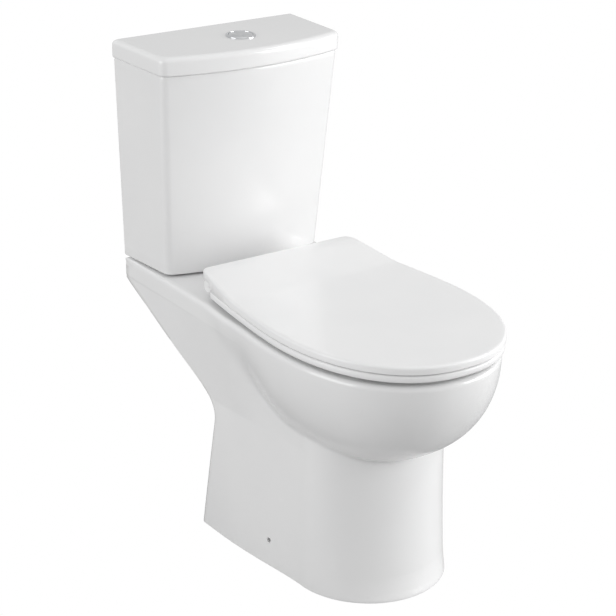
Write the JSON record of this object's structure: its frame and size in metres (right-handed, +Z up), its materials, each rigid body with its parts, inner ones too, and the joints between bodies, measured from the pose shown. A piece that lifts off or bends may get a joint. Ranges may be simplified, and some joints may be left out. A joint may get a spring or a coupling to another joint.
{
  "type": "close coupled toilet",
  "caption": "Close coupled toilet: china pan and cistern, soft close seat and cover, and a two part flush button in the cistern lid.",
  "frame": {"origin": "on the floor, at the middle of the bounding box's footprint", "axes": "+Z up, -Y towards the front of the pan, +Y towards the wall, +X to the right seen from the front"},
  "size_m": [0.35, 0.704, 0.784],
  "materials": {
    "pan_rim": "gloss glaze",
    "pan_bowl": "gloss glaze",
    "pan_trap": "gloss glaze",
    "pan_inlet": "gloss glaze",
    "pan_pedestal": "gloss glaze",
    "cistern": "gloss glaze",
    "coupling_seal": "black rubber",
    "shelf_pads": "pale soft rubber",
    "coupling_bolts": "stainless steel",
    "bolt_seals": "black rubber",
    "bolt_washers": "stainless steel",
    "wing_nuts": "moulded nylon",
    "flush_valve_body": "white moulded plastic",
    "flush_valve_gasket": "black rubber",
    "flush_valve_nut": "white moulded plastic",
    "fill_valve_body": "white moulded plastic",
    "fill_valve_gasket": "black rubber",
    "fill_valve_nut": "white moulded plastic",
    "fill_valve_cap": "white moulded plastic",
    "float_arm_pin": "stainless steel",
    "hinge_posts": "white gloss",
    "hinge_pins": "stainless steel",
    "hinge_gaskets": "black rubber",
    "hinge_studs": "stainless steel",
    "hinge_bushes": "black rubber",
    "hinge_nuts": "white moulded plastic",
    "cistern_lid": "gloss glaze",
    "button_ring": "polished chrome plate",
    "button_lock_nut": "white moulded plastic",
    "button_carrier": "white moulded plastic",
    "half_flush_spring": "spring steel",
    "full_flush_spring": "spring steel",
    "half_flush_button": "polished chrome plate",
    "half_flush_rod": "pale blue plastic",
    "full_flush_button": "polished chrome plate",
    "full_flush_rod": "grey plastic",
    "half_flush_plunger": "pale blue plastic",
    "full_flush_plunger": "grey plastic",
    "overflow_tube": "grey moulded plastic",
    "flush_valve_seal": "black rubber",
    "float_cup": "white moulded plastic",
    "float_link": "grey moulded plastic",
    "float_arm": "grey moulded plastic",
    "seat_ring": "white gloss",
    "ring_bumpers": "pale soft rubber",
    "seat_cover": "white gloss",
    "cover_bumpers": "pale soft rubber",
    "hinge_dampers": "dark plastic cartridge"
  },
  "bodies": {
    "pan_and_cistern": {"pan_rim": "pan_rim", "pan_bowl": "pan_bowl", "pan_trap": "pan_trap", "pan_inlet": "pan_inlet", "pan_pedestal": "pan_pedestal", "cistern": "cistern", "coupling_seal": "coupling_seal", "shelf_pads": "shelf_pads", "coupling_bolts": "coupling_bolts", "bolt_seals": "bolt_seals", "bolt_washers": "bolt_washers", "wing_nuts": "wing_nuts", "flush_valve_body": "flush_valve_body", "flush_valve_gasket": "flush_valve_gasket", "flush_valve_nut": "flush_valve_nut", "fill_valve_body": "fill_valve_body", "fill_valve_gasket": "fill_valve_gasket", "fill_valve_nut": "fill_valve_nut", "fill_valve_cap": "fill_valve_cap", "float_arm_pin": "float_arm_pin", "hinge_posts": "hinge_posts", "hinge_pins": "hinge_pins", "hinge_gaskets": "hinge_gaskets", "hinge_studs": "hinge_studs", "hinge_bushes": "hinge_bushes", "hinge_nuts": "hinge_nuts"},
    "lid": {"cistern_lid": "cistern_lid", "button_ring": "button_ring", "button_lock_nut": "button_lock_nut", "button_carrier": "button_carrier", "half_flush_spring": "half_flush_spring", "full_flush_spring": "full_flush_spring"},
    "half_button": {"half_flush_button": "half_flush_button", "half_flush_rod": "half_flush_rod"},
    "full_button": {"full_flush_button": "full_flush_button", "full_flush_rod": "full_flush_rod"},
    "half_plunger": {"half_flush_plunger": "half_flush_plunger"},
    "full_plunger": {"full_flush_plunger": "full_flush_plunger"},
    "valve_stem": {"overflow_tube": "overflow_tube", "flush_valve_seal": "flush_valve_seal"},
    "float": {"float_cup": "float_cup", "float_link": "float_link"},
    "arm": {"float_arm": "float_arm"},
    "ring": {"seat_ring": "seat_ring", "ring_bumpers": "ring_bumpers"},
    "cover": {"seat_cover": "seat_cover", "cover_bumpers": "cover_bumpers", "hinge_dampers": "hinge_dampers"}
  },
  "joints": [
    {"name": "seat_ring_hinge", "type": "hinge", "parent": "pan_and_cistern", "child": "ring", "pos_m": [0, 0.123, 0.424], "axis": [-1, 0, 0], "range_deg": [0, 94]},
    {"name": "seat_cover_hinge", "type": "hinge", "parent": "ring", "child": "cover", "pos_m": [0, 0.123, 0.424], "axis": [1, 0, 0], "range_deg": [-97, 0]},
    {"name": "lid_lift", "type": "slide", "parent": "pan_and_cistern", "child": "lid", "axis": [0, 0, 1], "range_m": [0, 0.06]},
    {"name": "half_flush_press", "type": "slide", "parent": "lid", "child": "half_button", "axis": [0, 0, -1], "range_m": [0, 0.006], "stiffness_N_per_m": 400, "springref_m": -0.004, "deforming": ["half_flush_spring"]},
    {"name": "full_flush_press", "type": "slide", "parent": "lid", "child": "full_button", "axis": [0, 0, -1], "range_m": [0, 0.006], "stiffness_N_per_m": 400, "springref_m": -0.004, "deforming": ["full_flush_spring"]},
    {"name": "half_plunger_slide", "type": "slide", "parent": "pan_and_cistern", "child": "half_plunger", "axis": [0, 0, -1], "range_m": [0, 0.006]},
    {"name": "full_plunger_slide", "type": "slide", "parent": "pan_and_cistern", "child": "full_plunger", "axis": [0, 0, -1], "range_m": [0, 0.006]},
    {"name": "valve_lift", "type": "slide", "parent": "pan_and_cistern", "child": "valve_stem", "axis": [0, 0, 1], "range_m": [0, 0.021]},
    {"name": "float_drop", "type": "slide", "parent": "pan_and_cistern", "child": "float", "axis": [0, 0, -1], "range_m": [0, 0.016]},
    {"name": "float_arm_tilt", "type": "hinge", "parent": "pan_and_cistern", "child": "arm", "pos_m": [0.118, 0.292, 0.6805], "axis": [0, -1, 0], "range_deg": [0, 25.6]}
  ],
  "couplings": [
    {"joint": "half_plunger_slide", "follows": "half_flush_press", "ratio": 1},
    {"joint": "full_plunger_slide", "follows": "full_flush_press", "ratio": 1},
    {"joint": "valve_lift", "follows": "full_flush_press", "ratio": 3.5},
    {"joint": "float_arm_tilt", "follows": "float_drop", "rad_per_m": 27.8}
  ]
}
